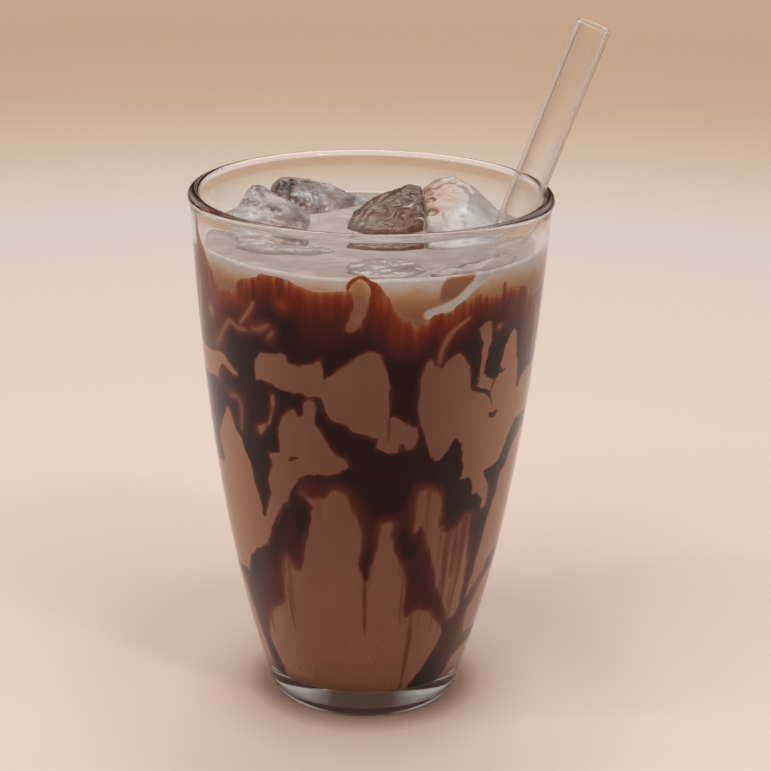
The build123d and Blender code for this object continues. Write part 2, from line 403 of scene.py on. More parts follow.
def smooth_path(points, closed, steps=7):
    """Catmull-Rom curve through (azimuth, height) points, in millimetres on the wall."""
    knots = np.array(points, float) * (arc_per_degree, 1)
    if closed:
        knots = np.vstack([knots[-1], knots, knots[0], knots[1]])
    else:
        knots = np.vstack([2 * knots[0] - knots[1], knots, 2 * knots[-1] - knots[-2]])
    t = np.linspace(0, 1, steps, endpoint=False)[:, None]
    spans = []
    for a, b, c, d in zip(knots, knots[1:], knots[2:], knots[3:]):
        spans.append(0.5 * (2 * b + (c - a) * t + (2 * a - 5 * b + 4 * c - d) * t ** 2
                            + (3 * b - a - 3 * c + d) * t ** 3))
    return np.vstack([*spans, knots[-2][None] if not closed else knots[1][None]])


def near_path(path, x, z, reach):
    """True for the points less than reach outside a path's box."""
    low, high = path.min(0) - reach, path.max(0) + reach
    return (x > low[0]) & (x < high[0]) & (z > low[1]) & (z < high[1])


def segment_gaps(path, x, z):
    """Squared distance from points to each straight piece of a path in turn."""
    for start, end in zip(path, path[1:]):
        step = end - start
        length = max(float(step @ step), 1e-9)
        t = np.clip(((x - start[0]) * step[0] + (z - start[1]) * step[1]) / length, 0, 1)
        yield (x - start[0] - t * step[0]) ** 2 + (z - start[1] - t * step[1]) ** 2


def distance(path, x, z, reach=15.0):
    """Distance in millimetres from points to a path, not looked for past reach."""
    result = np.full(x.shape, reach)
    near = near_path(path, x, z, reach)
    best = np.full(x[near].shape, reach * reach)
    for gap in segment_gaps(path, x[near], z[near]):
        best = np.minimum(best, gap)
    result[near] = np.sqrt(best)
    return result


def stroke(points, half_width, x, z):
    """Millimetres inside a line that thins towards its ends; negative outside it."""
    path = smooth_path(points, False)
    result = np.full(x.shape, -far_off)
    near = near_path(path, x, z, line_reach)
    best = np.full(x[near].shape, -far_off)
    for place, gap in enumerate(segment_gaps(path, x[near], z[near])):
        off_middle = abs(2 * (place + 0.5) / (len(path) - 1) - 1)
        width = half_width * (1 - line_taper * off_middle ** 2)
        best = np.maximum(best, width - np.sqrt(gap))
    result[near] = best
    return result


def inside(path, x, z):
    """True for the points that a closed path goes round."""
    result = np.zeros(x.shape, bool)
    for (x0, z0), (x1, z1) in zip(path, path[1:]):
        if z0 != z1:
            crosses = (z0 > z) != (z1 > z)
            result ^= crosses & (x < (x1 - x0) * (z - z0) / (z1 - z0) + x0)
    return result


def outline_distance(points, x, z):
    """Distance outside a smooth closed outline; negative inside."""
    path = smooth_path(points, True)
    gap = distance(path, x, z)
    return np.where(inside(path, x, z), -gap, gap)


def wrapped(azimuth):
    """The same azimuth from -180 to 180."""
    return (azimuth + 180) % 360 - 180


def line_depth(gap, half_width, middle):
    """Depth across a thin line of syrup, middle along its middle."""
    return middle * np.clip(gap / half_width, 0, 1) ** line_deepening


def front_pattern(azimuth, z):
    """The pattern of the half of the wall that faces the camera, as syrup_pattern gives it."""
    x = azimuth * arc_per_degree
    brushed = wall_noise("brushed", azimuth, z)
    wander = wall_noise("wander", azimuth, z)
    torn = wall_noise("torn", azimuth, z)
    streak = wall_noise("streak", azimuth, z)
    rough = brushed_least + brushed_more * smoothstep(-0.5, 0.9, wall_noise("rough", azimuth, z))
    top = outline_distance(above_syrup, x, z) + brushed * rough + wall_noise("top edge", azimuth, z)
    reach = top
    fading = 1 - smoothstep(brushed_from, soft_top, top)
    depth = (above_zero(top) / soft_top) ** deepening + brushed_depth * brushed * fading
    warm = least_warm + collar_warm * np.exp(-(above_zero(top) / collar_fade) ** 2)
    stain = np.full(x.shape, -1.0)
    for name, (softness, points) in windows.items():
        outside = outline_distance(points, x, z)
        uneven = softness * (0.25 + 0.75 * (1 + wall_noise("uneven", azimuth, z)))
        gap = outside + wander * edge_wander + torn + brushed * edge_brushed + edge_spread * uneven
        reach = np.minimum(reach, gap)
        depth = np.minimum(depth, (above_zero(gap) / uneven) ** deepening)
        glow = window_warm * softness * smoothstep(0, 2, gap) * np.exp(-above_zero(gap) / window_fade)
        warm = np.maximum(warm, glow)
        if name in stained:
            foot_loss = stain_loss * (1 - smoothstep(stain_low, stain_high, z))
            run = streak - stain_from + stain_inward * outside - foot_loss
            stain = np.where(outside < 0, run, stain)
    for half_width, points in pale_lines:
        gap = -stroke(points, half_width, x, z) + wander * pale_wander
        depth = np.minimum(depth, pale_line_depth + (above_zero(gap) / pale_line_side) ** deepening)
    for place, at, wide, tall, loss in thin_places:
        spread = np.exp(-(((azimuth - place) / wide) ** 2 + ((z - at) / tall) ** 2))
        depth = depth * (1 - loss * spread)
        warm = warm + thin_warm * max(loss, 0) * spread
    for half_width, middle, points in syrup_lines:
        gap = stroke(points, half_width, x, z) + wander * line_wander + torn * line_torn
        reach = np.maximum(reach, gap)
        depth = np.maximum(depth, line_depth(gap, half_width, middle))
    reach = np.maximum(reach, stain)
    stain = np.clip(stain, 0, 1)
    depth = np.maximum(depth, stain_depth * stain)
    warm = np.maximum(warm, stain_warm * stain)
    return reach, depth * (full_depth + wall_noise("blotch", azimuth, z)), warm


def behind_place(azimuth, z):
    """The place on the front whose pattern the back has here: half round, pulled about by up to
    13 degrees and lifted by up to 9 mm, but not at the floor and the surface."""
    turned = wrapped(azimuth + 180)
    pulled = turned + 8 * np.sin(np.radians(turned * 3)) + 5 * np.sin(z / 9)
    lift = 6 * np.sin(np.radians(turned * 2.2) + 1) + 3 * np.sin(z / 14)
    return pulled, z + lift * smoothstep(6, 30, z) * (1 - smoothstep(105, 116, z))


def syrup_pattern(azimuth, z):
    """(reach, depth, warm): millimetres from the syrup's nearest edge, negative where there is
    none; its depth from 0, a stain, to 1, black; and how red its thin parts look, 0 to 1. The
    back repeats the front turned half round and pulled about, and the two run into each other
    at the sides."""
    azimuth = wrapped(azimuth)
    off_front = np.abs(azimuth)
    behind = smoothstep(*blend_sides, off_front)
    pulled, lifted = behind_place(azimuth, z)
    front = front_pattern(np.clip(azimuth, -pattern_end, pattern_end), z)
    back = front_pattern(np.clip(pulled, -pattern_end, pattern_end), lifted)
    reach, depth, warm = (a * (1 - behind) + b * behind for a, b in zip(front, back))
    side_wander = wall_noise("side wander", azimuth, z)
    for half_width, middle, points in side_lines:
        gap = stroke(points, half_width, azimuth * arc_per_degree, z) + side_wander
        reach = np.maximum(reach, gap)
        depth = np.maximum(depth, line_depth(gap, half_width, middle))
    clean = np.where(off_front > clean_from, surface - clean_drop - z, 99.0)
    side = smoothstep(*glass_side, off_front) * (1 - smoothstep(*glass_back, off_front))
    depth = depth * (1 - side_thinning * side)
    warm = warm + side_warm * side
    return np.minimum(reach, clean), np.clip(depth, 0, 1), np.clip(warm, 0, 1)


def contour_cells(reach):
    """Cuts a grid where reach is zero and keeps the positive side: (points, faces), with the
    points as fractional (column, row) places."""
    keep = reach > 0
    points, number, faces = [], {}, []

    def corner(i, j):
        key = (i, j, 0)
        if key not in number:
            number[key] = len(points)
            points.append((i, j))
        return number[key]

    def crossing(i, j, k, m):
        key = (min(i, k), min(j, m), 1 if i != k else 2)
        if key not in number:
            share = reach[i, j] / (reach[i, j] - reach[k, m])
            number[key] = len(points)
            points.append((i + (k - i) * share, j + (m - j) * share))
        return number[key]

    live = keep[:-1, :-1] | keep[1:, :-1] | keep[1:, 1:] | keep[:-1, 1:]
    for i, j in zip(*np.nonzero(live)):
        loop = [(i, j), (i + 1, j), (i + 1, j + 1), (i, j + 1)]
        face = []
        for a, b in zip(loop, loop[1:] + loop[:1]):
            if keep[a]:
                face.append(corner(*a))
            if keep[a] != keep[b]:
                face.append(crossing(*a, *b))
        faces.append(face)
    return np.array(points, float), faces


shell_least = 0.08         # thickness of the syrup's shell inside the wall, in millimetres
shell_depth = 0.55         # what its full depth adds to that
edge_share = 0.4           # share of its depth that its cut edge keeps
foot_gap, rim_gap = 0.4, 1.6        # where the grid starts above the floor and ends below the rim


def make_syrup(name, first, last, step_degrees, step_height):
    """One stretch of the syrup as a closed shell: its outside just in the wall, its inside
    bulging into the coffee by its depth."""
    azimuths = np.linspace(first, last, round((last - first) / step_degrees) + 1)
    heights = np.arange(floor_top + foot_gap, height - rim_gap, step_height)
    grid = np.meshgrid(azimuths, heights, indexing="ij")
    reach, depth, warm = syrup_pattern(*grid)
    points, faces = contour_cells(reach)
    azimuth = np.interp(points[:, 0], np.arange(len(azimuths)), azimuths)
    z = np.interp(points[:, 1], np.arange(len(heights)), heights)
    column = np.clip(np.rint(points[:, 0]).astype(int), 0, len(azimuths) - 1)
    row = np.clip(np.rint(points[:, 1]).astype(int), 0, len(heights) - 1)
    on_edge = (points % 1).sum(1) > 0
    dark = np.where(on_edge, depth[column, row] * edge_share, depth[column, row])
    red = warm[column, row]
    x, y = around(azimuth)
    outer = inner_radius(z) + syrup_into_wall
    inner = outer - syrup_into_wall - shell_least - shell_depth * dark
    count = len(points)
    vertices = np.vstack([np.column_stack([r * x, r * y, z]) for r in (outer, inner)])
    edges = {}
    for face in faces:
        for a, b in zip(face, face[1:] + face[:1]):
            edges[(a, b)] = True
    skin = [tuple(face) for face in faces]
    skin += [tuple(count + v for v in reversed(face)) for face in faces]
    skin += [(b, a, a + count, b + count) for a, b in edges if (b, a) not in edges]
    piece = mesh_object(name, vertices, skin)
    add_values(piece, "depth", np.concatenate([dark, dark]))
    add_values(piece, "warm", np.concatenate([red, red]))
    piece.data.set_sharp_from_angle(angle=math.radians(50))
    return piece


# ---- the coffee ----

film_height = 0.8          # how far the milk clings to the wall above the surface
film_width = 1.4           # how far from the wall it starts to climb
milk_foot = 107.0          # height on the wall where the milky layer starts
milk_depth = 10.6          # height that it takes to turn whole
upper_wall_painted_shade = 0.12           # place on the colour ramp that the wall's upper part reaches: painted shade, darker to offset the light from above
layer_milk = 0.72          # what the milky layer adds
whitest = 0.84
drip_azimuth = -3.4        # where the drip through the milk is
drip_width = 3.0
drip_dark = 0.3            # milkiness that it takes away
top_rows_from = 104.0      # height from which the drink's rings lie closer
wettest, least_wet = 0.96, 0.89     # looks of the top surface on the coffee's colour ramp
bowl_depth = 9.0           # hollow that each ice cube sits in
bowl_share, bowl_edge = 0.94, 0.45      # its size and soft edge, as shares of the cube's reach
footprint_drop = 3.0       # how far below the surface a cube's corners still count for it
swells = [(6, 21, 0.12), (2.5, 22, 0.08)]      # the surface's waves: length, seed and height
row_gap, top_row_gap, top_rings = 1.5, 0.4, 64      # the drink's rings up the wall and on top
# How milky the drink looks in the hollow under each cube.
bowl_milk = {"ice_left_front": 0.6, "ice_left_back": 0.1, "ice_middle": 0.0, "ice_right": 0.66}
# The cube's corner that is sunk at the right against the wall: its pale edge, a painted highlight, and its
# brown face.
sunk_ice_highlight_edge = [(19.5, 109.8), (24, 110.8), (29, 112.2), (34, 115.2), (41, 117.6), (50, 118.6)]
submerged_face = [(23, 113), (27.5, 113.2), (31, 115), (34.5, 117.8), (24.5, 117.6)]

# Ice: corner points in millimetres of each cube as it has melted.
ice_corners = {
    "ice_left_front": [
        (-34, 4, 120), (-31, 11, 124), (-28, 12, 126.6), (-24.5, 12.5, 125), (-20, 8, 122.8),
        (-15.5, 3, 118.3), (-15, 10, 119.5), (-20, 15, 121.5), (-30.5, 15, 122), (-31, -5, 118.4),
        (-22, -9, 118), (-32, 2, 108), (-30, 14, 108), (-17, 13, 108), (-17, -4, 108), (-25, -7, 109)],
    "ice_left_back": [
        (-26, 23.5, 121.5), (-22.5, 26.5, 125.2), (-19.5, 26, 125.4), (-15, 27, 122.8),
        (-8, 29, 121.8), (-3, 28, 120.3), (-0.5, 29, 118), (-16, 18.5, 118.6), (-23, 19.5, 120),
        (-12, 34, 119.4), (-24, 28, 121), (-25, 21, 109), (-21, 29, 109), (-4, 32, 109), (-3, 24, 109),
        (-15, 19, 109)],
    "ice_middle": [
        (-5.5, 5, 118.4), (-4, 13, 119.8), (1, 21, 121.8), (9, 24.5, 124.2), (12.4, 23, 124),
        (12.6, 12, 121.6), (12, 3, 119.4), (7, -1, 118.6), (-1, 0, 118.4), (-4, 4, 107), (-2, 20, 107),
        (11, 22, 107), (11, 1, 107)],
    "ice_right": [
        (13.2, 23.5, 124), (16, 26, 125), (20.8, 25.5, 126.3), (25.5, 22, 124.8), (31, 15.5, 120.5),
        (32.6, 12.5, 118.4), (28, 5, 118.2), (20, -2, 118.2), (13.6, 2, 119), (13.4, 13, 122.4),
        (23, 10, 122.6), (14, 24, 106), (24, 22, 106), (27, 10, 106), (15, 2, 106)],
}
# Ice that lies awash in front, which only shows through the glass.
awash_corners = {
    "ice_awash_left": [
        (-31, -13, 118.4), (-24, -18, 118.8), (-14, -16, 119.2), (-8, -11, 118.6), (-10, -5, 119),
        (-20, -6, 119.6), (-29, -7, 119.2), (-28, -14, 112), (-12, -14, 112), (-12, -6, 112),
        (-26, -6, 112)],
    "ice_awash_middle": [
        (-5, -33, 117.9), (0, -37, 117.8), (8, -36, 118), (13, -30, 118), (10, -23, 118.5),
        (1, -21, 118.7), (-5, -26, 118.4), (0, -34, 112), (9, -33, 112), (8, -24, 112), (-2, -25, 112)],
    "ice_awash_right": [
        (13, -34.6, 118.4), (20, -31, 118.9), (27, -24, 119.3), (30.5, -17, 119), (33, -17.5, 118.3),
        (30, -24.5, 118.2), (24, -31, 118.2), (16, -35.8, 118.2), (16, -33, 112), (29, -20, 112),
        (27, -27, 112)],
}


def hull_parts(corners, z):
    """Outline of an ice cube near the surface as points in order round their middle."""
    flat = np.array([c[:2] for c in corners if c[2] > z], float)
    middle = flat.mean(0)
    order = np.argsort(np.arctan2(*(flat - middle).T[::-1]))
    return flat[order], middle


def bowl(x, y, corners):
    """0 away from an ice cube's footprint, 1 inside it."""
    ring, middle = hull_parts(corners, surface - footprint_drop)
    reach = np.hypot(*(ring - middle).T).mean() * bowl_share
    return smoothstep(0, bowl_edge, 1 - np.hypot(x - middle[0], y - middle[1]) / reach)


def surface_height(x, y):
    """Height of the coffee's surface, hollowed under the ice and raised at the wall."""
    radius = np.hypot(x, y)
    wall = inner_radius(surface)
    hollow = np.zeros_like(x)
    for corners in ice_corners.values():
        hollow = np.maximum(hollow, bowl(x, y, corners))
    swell = sum(rise * ripple(x / length, y / length, seed) for length, seed, rise in swells)
    climb = film_height * smoothstep(wall - film_width, wall, radius) ** 2
    return surface + swell * (1 - hollow) - bowl_depth * hollow + climb


def milk_on_wall(azimuth, z):
    """How milky the drink is against the wall: 0 coffee, 1 white. Its upper part is painted
    darker as shade, and a painted highlight runs along the sunk cube's edge.
    """
    flat = wrapped(azimuth)
    x = flat * arc_per_degree
    layer = layer_milk * np.clip((z - milk_foot) / milk_depth, 0, 1)
    cloud = 0.04 * ripple(flat / 5, z / 2, 31) * smoothstep(106, 114, z)
    drip = np.exp(-((flat - drip_azimuth) / drip_width) ** 2) * smoothstep(109, 114, z)
    drip = drip * (1 - smoothstep(118, 119, z))
    # Painted shade: the wall's upper part is painted darker to offset the light from above.
    milk = upper_wall_painted_shade * smoothstep(15, 80, z) + layer + cloud - drip_dark * drip
    edge = distance(smooth_path(sunk_ice_highlight_edge, False), x, z)
    # Painted highlight: white along the sunk cube's edge.
    milk = np.maximum(milk, whitest * (1 - smoothstep(0.7, 2.6, edge)))
    milk = np.clip(milk, 0, whitest)
    face = outline_distance(submerged_face, x, z)
    dull = 0.13 + 0.09 * smoothstep(113, 117.5, z)
    return dull + (milk - dull) * smoothstep(-0.5, 0.35, face)


def drink_rings(azimuths):
    """The drink's skin from the floor's middle, up the wall and over the surface, as rings."""
    x, y = around(azimuths)
    start = floor_top - drink_into_wall
    rings = [(0, start)]
    rings += [(r, start) for r in np.linspace(0, inner_radius(floor_top), 8)[1:]]
    corner = floor_top + corner_reach * (1 - np.cos(np.linspace(0, math.pi / 2, 9)[1:]))
    lower = np.arange(corner[-1] + row_gap, top_rows_from, row_gap)
    rows = [*corner, *lower, *np.arange(top_rows_from, surface, top_row_gap)]
    rings += [(inner_radius(z) + drink_into_wall, z) for z in rows]
    wall = inner_radius(surface + 1)
    top = surface + film_height + 0.25 * ripple(azimuths / 4, azimuths * 0, 41)
    rings.append((wall + drink_into_wall, top))
    for share in 1 - np.linspace(0, 1, top_rings)[1:-1] ** 1.15:
        radius = share * wall
        rings.append((radius, surface_height(radius * x, radius * y)))
    rings.append((0, surface_height(np.zeros(1), np.zeros(1))))
    return rings


def milk_on_top(x, y):
    """How milky the top surface is, and how dark the hollows under the ice."""
    drift = 2 * ripple(x / 7, y / 7, 53)
    wet = wettest + 0.03 * ripple(x / 5, y / 5, 51) + 0.025 * ripple(x / 3 + drift, y / 1.2 + drift, 52)
    off_middle = np.hypot(x, y) / inner_radius(surface + 1)
    wet = wet - 0.04 * smoothstep(0.55, 1, off_middle) - 0.07 * smoothstep(0, 26, x)
    wet = np.maximum(wet, least_wet)
    for name, under in bowl_milk.items():
        shade = bowl(x, y, ice_corners[name])
        wet = wet * (1 - shade) + under * shade
    return wet


def make_drink():
    azimuths = np.concatenate([np.arange(-90, 90, 0.6), np.arange(90, 270, 2.0)])
    piece = ring_mesh("coffee", drink_rings(azimuths), azimuths)
    x, y, z = (np.array([v.co for v in piece.data.vertices]) / MM).T
    turn = np.degrees(np.arctan2(x, -y))
    on_wall = np.hypot(x, y) > inner_radius(np.minimum(z, surface)) - 0.6
    milk = np.where(on_wall | (z < top_rows_from), milk_on_wall(turn, z), milk_on_top(x, y))
    add_values(piece, "milk", milk)
    # Painted light: the coffee is painted paler towards the glass's sides, and along its bottom edge
    # against the shade in the corner.
    from_front_or_back = 90 - np.abs(np.abs(wrapped(turn)) - 90)
    side = smoothstep(20, 66, from_front_or_back) * (1 - smoothstep(100, 112, z))
    add_values(piece, "pale", np.maximum(side, 0.8 * (1 - smoothstep(8, 11, z))))
    return piece


# ---- ice ----

ice_voxel = 0.38           # size of its faces, in millimetres
melt_steps, melt_strength = 14, 0.6     # how much its corners are rounded
regrown = 0.4              # millimetres that the rounding takes off a cube, given back

# Looks of each piece of ice. tone: how white it is, 0 to 1; seed: its noise; pits: depth of its
# dents in millimetres; ribs: height of its waves, the place that they are on and their reach,
# where painted glints run along their crests; contrast: how blotchy it is, with its creases
# painted darker as shade; facing: the direction whose facets are painted lighter, as painted
# light; spots: (x, y, z, reach, change) of its dark and light places; rings: (x, y, z, radius)
# of the bubbles that broke open.
ice_looks = {
    "ice_left_front": {
        "pits": 0.9, "ribs": (0.0, (-25, 5, 120), 9), "seed": 61, "contrast": 0.85, "tone": 0.63,
        "facing": (-0.26, 0.10, 0.12),
        "spots": [
            (-27.6, 12.2, 125, 2.4, -0.75), (-21, 7, 121, 3.6, -0.22), (-17.2, 4, 119.4, 2.0, -0.4),
            (-32, 5, 121.5, 3.5, 0.22), (-24.5, 9, 123, 1.6, 0.2), (-24, 6.5, 122, 1.2, -0.3)],
        "rings": [(-29.4, 7.4, 121.6, 1.0), (-23.4, 4.4, 120.2, 0.8)]},
    "ice_left_back": {
        "pits": 0.9, "ribs": (0.55, (-17, 19.5, 122), 5), "seed": 65, "contrast": 0.9, "tone": 0.61,
        "facing": (0.12, -0.10, 0.16),
        "spots": [
            (-21.8, 22.6, 124.2, 2.6, -1.1), (-25.6, 22, 123, 1.8, -0.6),
            (-17.2, 21.5, 123.4, 1.6, 0.35), (-6.5, 24.5, 121.4, 3.0, -0.55),
            (-12.7, 20.6, 120.4, 1.7, -0.3), (-14.8, 20.4, 121.8, 1.8, 0.3)],
        "rings": [(-19.6, 19.2, 122, 0.9), (-16.6, 17.8, 120.6, 0.9), (-22, 22, 124, 1.5)]},
    "ice_middle": {
        "pits": 0.35, "ribs": (0.9, (9.5, 10, 121.5), 7.5), "seed": 69, "contrast": 0.3, "tone": 0.27,
        "facing": (0.03, 0.05, -0.06),
        "spots": [
            (-1.5, 5, 119, 4.0, 0.34), (11.5, 20, 124.2, 1.8, 0.1), (4, 16, 121.5, 3.0, 0.08)],
        "rings": []},
    "ice_right": {
        "pits": 0.4, "ribs": (0.0, (22, 10, 122), 9), "seed": 73, "contrast": 0.2, "tone": 0.66,
        "facing": (0.10, -0.06, -0.04),
        "spots": [
            (15.5, 17, 125, 6.5, -0.26), (14, 9, 123.4, 4.5, -0.2), (13.2, 20, 124.4, 1.6, -0.3),
            (22.5, 3.5, 119.4, 1.5, -0.3), (22.5, 8, 121.4, 2.0, 0.2), (24, 4, 120, 7, 0.3)],
        "rings": [(14.3, 13.7, 124.5, 0.8), (14.6, 8.2, 123.4, 1.3)]},
    "ice_awash_left": {
        "pits": 0.4, "ribs": (0.2, (-20, -10, 119), 8), "seed": 80, "contrast": 0.3, "tone": 0.66,
        "facing": (0.1, 0.1, 0.1), "spots": [(-22, -10, 119, 3, -0.2)],
        "rings": []},
    "ice_awash_middle": {
        "pits": 0.3, "ribs": (0.2, (4, -30, 119), 6), "seed": 84, "contrast": 0.15, "tone": 0.55,
        "facing": (0.1, 0.1, 0.1), "spots": [(9, -31, 118.6, 3.2, -0.4), (-4, -33, 118.6, 2.2, -0.3)],
        "rings": []},
    "ice_awash_right": {
        "pits": 0.3, "ribs": (0.0, (25, -25, 119), 8), "seed": 88, "contrast": 0.3, "tone": 0.42,
        "facing": (0.1, 0.1, 0.1), "spots": [(20, -29, 118.8, 3, -0.2)],
        "rings": [(28, -21, 119, 0.9)]},
}


def ice_mesh(name, corners):
    """Object with the rounded hull of a cube's corners, in fine even faces."""
    rough = bmesh.new()
    for corner in corners:
        rough.verts.new(Vector(corner) * MM)
    bmesh.ops.convex_hull(rough, input=rough.verts)
    mesh = bpy.data.meshes.new(name)
    rough.to_mesh(mesh)
    rough.free()
    piece = bpy.data.objects.new(name, mesh)
    bpy.context.scene.collection.objects.link(piece)
    remesh = piece.modifiers.new("remesh", "REMESH")
    remesh.mode = "VOXEL"
    remesh.voxel_size = ice_voxel * MM
    melt = piece.modifiers.new("melt", "SMOOTH")
    melt.iterations = melt_steps
    melt.factor = melt_strength
    graph = bpy.context.evaluated_depsgraph_get()
    finished = bpy.data.meshes.new_from_object(piece.evaluated_get(graph))
    piece.modifiers.clear()
    piece.data = finished
    bpy.data.meshes.remove(mesh)
    return piece


def read_vertices(mesh, what):
    """One vector of every vertex: its "co" or its "normal"."""
    values = np.empty(len(mesh.vertices) * 3, np.float32)
    mesh.vertices.foreach_get(what, values)
    return values.reshape(-1, 3)


def falloff(place, middle, reach):
    return np.exp(-((place - middle) ** 2).sum(1) / reach ** 2)


def make_ice(name, corners, pits, ribs, seed, contrast, tone, facing, spots, rings):
    """A melted cube: the hull of its corners, rounded, then dented and ribbed by noise. Its tone
    runs from 0, dark hollows painted as shade, to 1, white; facets facing one way are painted
    lighter, and painted glints run along the ribs."""
    piece = ice_mesh(name, corners)
    place = read_vertices(piece.data, "co").astype(float) / MM
    normal = read_vertices(piece.data, "normal")
    x, y, z = place.T
    broad = ripple(x / 4.2 + z / 7, y / 4.2 - z / 9, seed)
    middling = ripple(x / 1.9 + z / 3, y / 1.9 + z / 4, seed + 1)
    fine = ripple(x / 0.9, y / 0.9 + z, seed + 2)
    bent = ripple(x / 3.5, y / 3.5 + z / 4, seed + 3)
    crease = (1 - np.abs(ripple(x / 5 + z / 5, y / 5 - z / 6, seed + 4))) ** 4
    broken = smoothstep(-0.25, 0.35, ripple(x / 1.4, y / 1.4 + z, seed + 5))
    push = regrown + pits * (0.45 * broad + 0.30 * middling + 0.10 * fine - 0.55 * crease)
    wave = np.sin((x * 0.75 - y * 0.55 + z * 0.5 + 2.2 * bent) * 2.1)
    rib_height, rib_place, rib_reach = ribs
    glint = rib_height * falloff(place, rib_place, rib_reach)
    push += (0.25 * rib_height + 0.75 * glint) * wave * 0.36
    # Painted light: facets that face the facing direction are lighter, creases are painted darker as
    # shade, and painted glints run along the crests of the ribs.
    tones = tone + normal @ np.array(facing) + contrast * (0.30 * middling + 0.20 * fine - 0.35 * crease)
    tones += glint * (1.3 * broken * np.clip(wave, 0, 1) ** 8 - 0.05)
    for *at, reach, change in spots:
        tones += change * falloff(place, at, reach)
    for *at, reach in rings:
        nearest = place[((place - at) ** 2).sum(1).argmin()]
        off = np.sqrt(((place - nearest) ** 2).sum(1))
        push -= 0.5 * reach * np.exp(-(off / reach) ** 2)
        tones += 0.3 * np.exp(-(off / (0.6 * reach)) ** 2) - 0.5 * np.exp(-((off - reach) / 0.42) ** 2)
    place = place + normal * push[:, None]
    piece.data.vertices.foreach_set("co", (place * MM).astype(np.float32).ravel())
    piece.data.update()
    piece.data.shade_smooth()
    add_values(piece, "tone", np.clip(tones, 0, 1))
    return piece


# ---- straw ----

straw_inset = 0.16         # keeps the rounded tube inside the CAD model's box
straw_wall = 1.1
straw_rounding = 0.5       # how far along it the rounding of its ends reaches
straw_sides = 64


def straw_line():
    """The straw's two end centres and radius, from its CAD node, in millimetres."""
    place = np.array([v.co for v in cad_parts["straw"].data.vertices]) / MM
    middle = place.mean(0)
    axis = np.linalg.svd(place - middle, full_matrices=False)[2][0]
    axis = axis * np.sign(axis[2])
    along = (place - middle) @ axis
    radial = np.linalg.norm(place - middle - along[:, None] * axis, axis=1)
    for _ in range(3):
        off = place - middle - along[:, None] * axis
        middle = middle + off.mean(0)
    return middle + axis * along.min(), middle + axis * along.max(), radial.max()


def make_straw():
    low, high, radius = straw_line()
    radius -= straw_inset
    axis = Vector(high - low).normalized()
    side = axis.cross(Vector((0, 1, 0))).normalized()
    other = axis.cross(side)
    length = (Vector(high) - Vector(low)).length
    turn = np.linspace(0, math.pi, 10)
    half = straw_wall / 2
    middle = radius - half
    rise = straw_rounding * np.sin(turn) - straw_rounding
    low_end = [(middle - half * math.cos(a), -up) for a, up in zip(turn, rise)]
    high_end = [(middle - half * math.cos(a), length + up) for a, up in zip(turn, rise)][::-1]
    rows = np.linspace(straw_rounding, length - straw_rounding, 40)[1:-1]
    outside = [(radius, z) for z in rows]
    bore = [(radius - straw_wall, z) for z in rows[::-1]]
    loop = [*low_end, *outside, *high_end, *bore]
    vertices, faces = [], []
    for r, z in loop:
        for i in range(straw_sides):
            a = 2 * math.pi * i / straw_sides
            vertices.append(Vector(low) + axis * z + (side * math.cos(a) + other * math.sin(a)) * r)
    for row in range(len(loop)):
        for i in range(straw_sides):
            a, b = row * straw_sides, (row + 1) % len(loop) * straw_sides
            j = (i + 1) % straw_sides
            faces.append((a + i, a + j, b + j, b + i))
    return mesh_object("glass_straw", vertices, faces)


# ---- materials ----
# Colours are sRGB, 0-255. Ramps are (place from 0 to 1, colour) stops.

backdrop_colour = rgb(197, 166, 140)
coffee_gain = 1.62
syrup_gain = 1.0
floor_gain = 0.81
ice_gain = 0.7
glass_ior = 1.5
ice_ior = 1.31
straw_ior = 1.12           # low, so that the straw's wall stays clear over what is behind it

# The stop at 0.12 is the wall's upper part, painted darker as shade.
milk_ramp = [(0.0, (122, 78, 60)), (0.12, (100, 65, 51)), (0.24, (118, 79, 60)), (0.3, (111, 69, 49)),
             (0.53, (131, 91, 62)), (0.66, (145, 114, 89)), (0.84, (153, 146, 141)),
             (0.89, (106, 96, 91)), (1.0, (134, 125, 120))]
# Painted light: the paler coffee colour at the glass's sides and along the bottom edge.
painted_light_coffee = rgb(146, 103, 80, coffee_gain)
bubble_colour = rgb(74, 44, 34, coffee_gain)
brown_syrup = [(0.0, (137, 90, 70)), (0.12, (116, 67, 51)), (0.3, (86, 43, 35)), (0.55, (69, 30, 25)),
               (0.8, (53, 20, 16)), (1.0, (34, 13, 12))]
orange_syrup = [(0.0, (162, 117, 85)), (0.05, (150, 90, 58)), (0.13, (136, 60, 33)), (0.28, (114, 38, 18)),
                (0.5, (86, 25, 15)), (0.78, (54, 19, 14)), (1.0, (30, 13, 12))]
clear_tones = [(0.0, (62, 42, 38)), (0.25, (118, 92, 84)), (0.5, (158, 144, 137)),
               (0.75, (188, 180, 176)), (1.0, (222, 217, 214))]
dark_tones = [(0.0, (40, 24, 22)), (0.2, (84, 56, 48)), (0.32, (150, 112, 86)), (0.5, (148, 134, 128)),
              (0.8, (186, 180, 180)), (1.0, (222, 220, 222))]
brown_tones = [(0.0, (84, 52, 40)), (0.3, (116, 84, 68)), (0.5, (136, 112, 100)),
               (0.75, (176, 162, 156)), (1.0, (222, 220, 224))]
cream_tones = [(0.0, (104, 64, 48)), (0.22, (158, 116, 90)), (0.42, (192, 160, 136)),
               (0.66, (176, 170, 164)), (1.0, (214, 219, 221))]
# Painted highlight: the thin bright curls on the ice.
painted_glint_curl_colour = rgb(226, 226, 230, ice_gain)
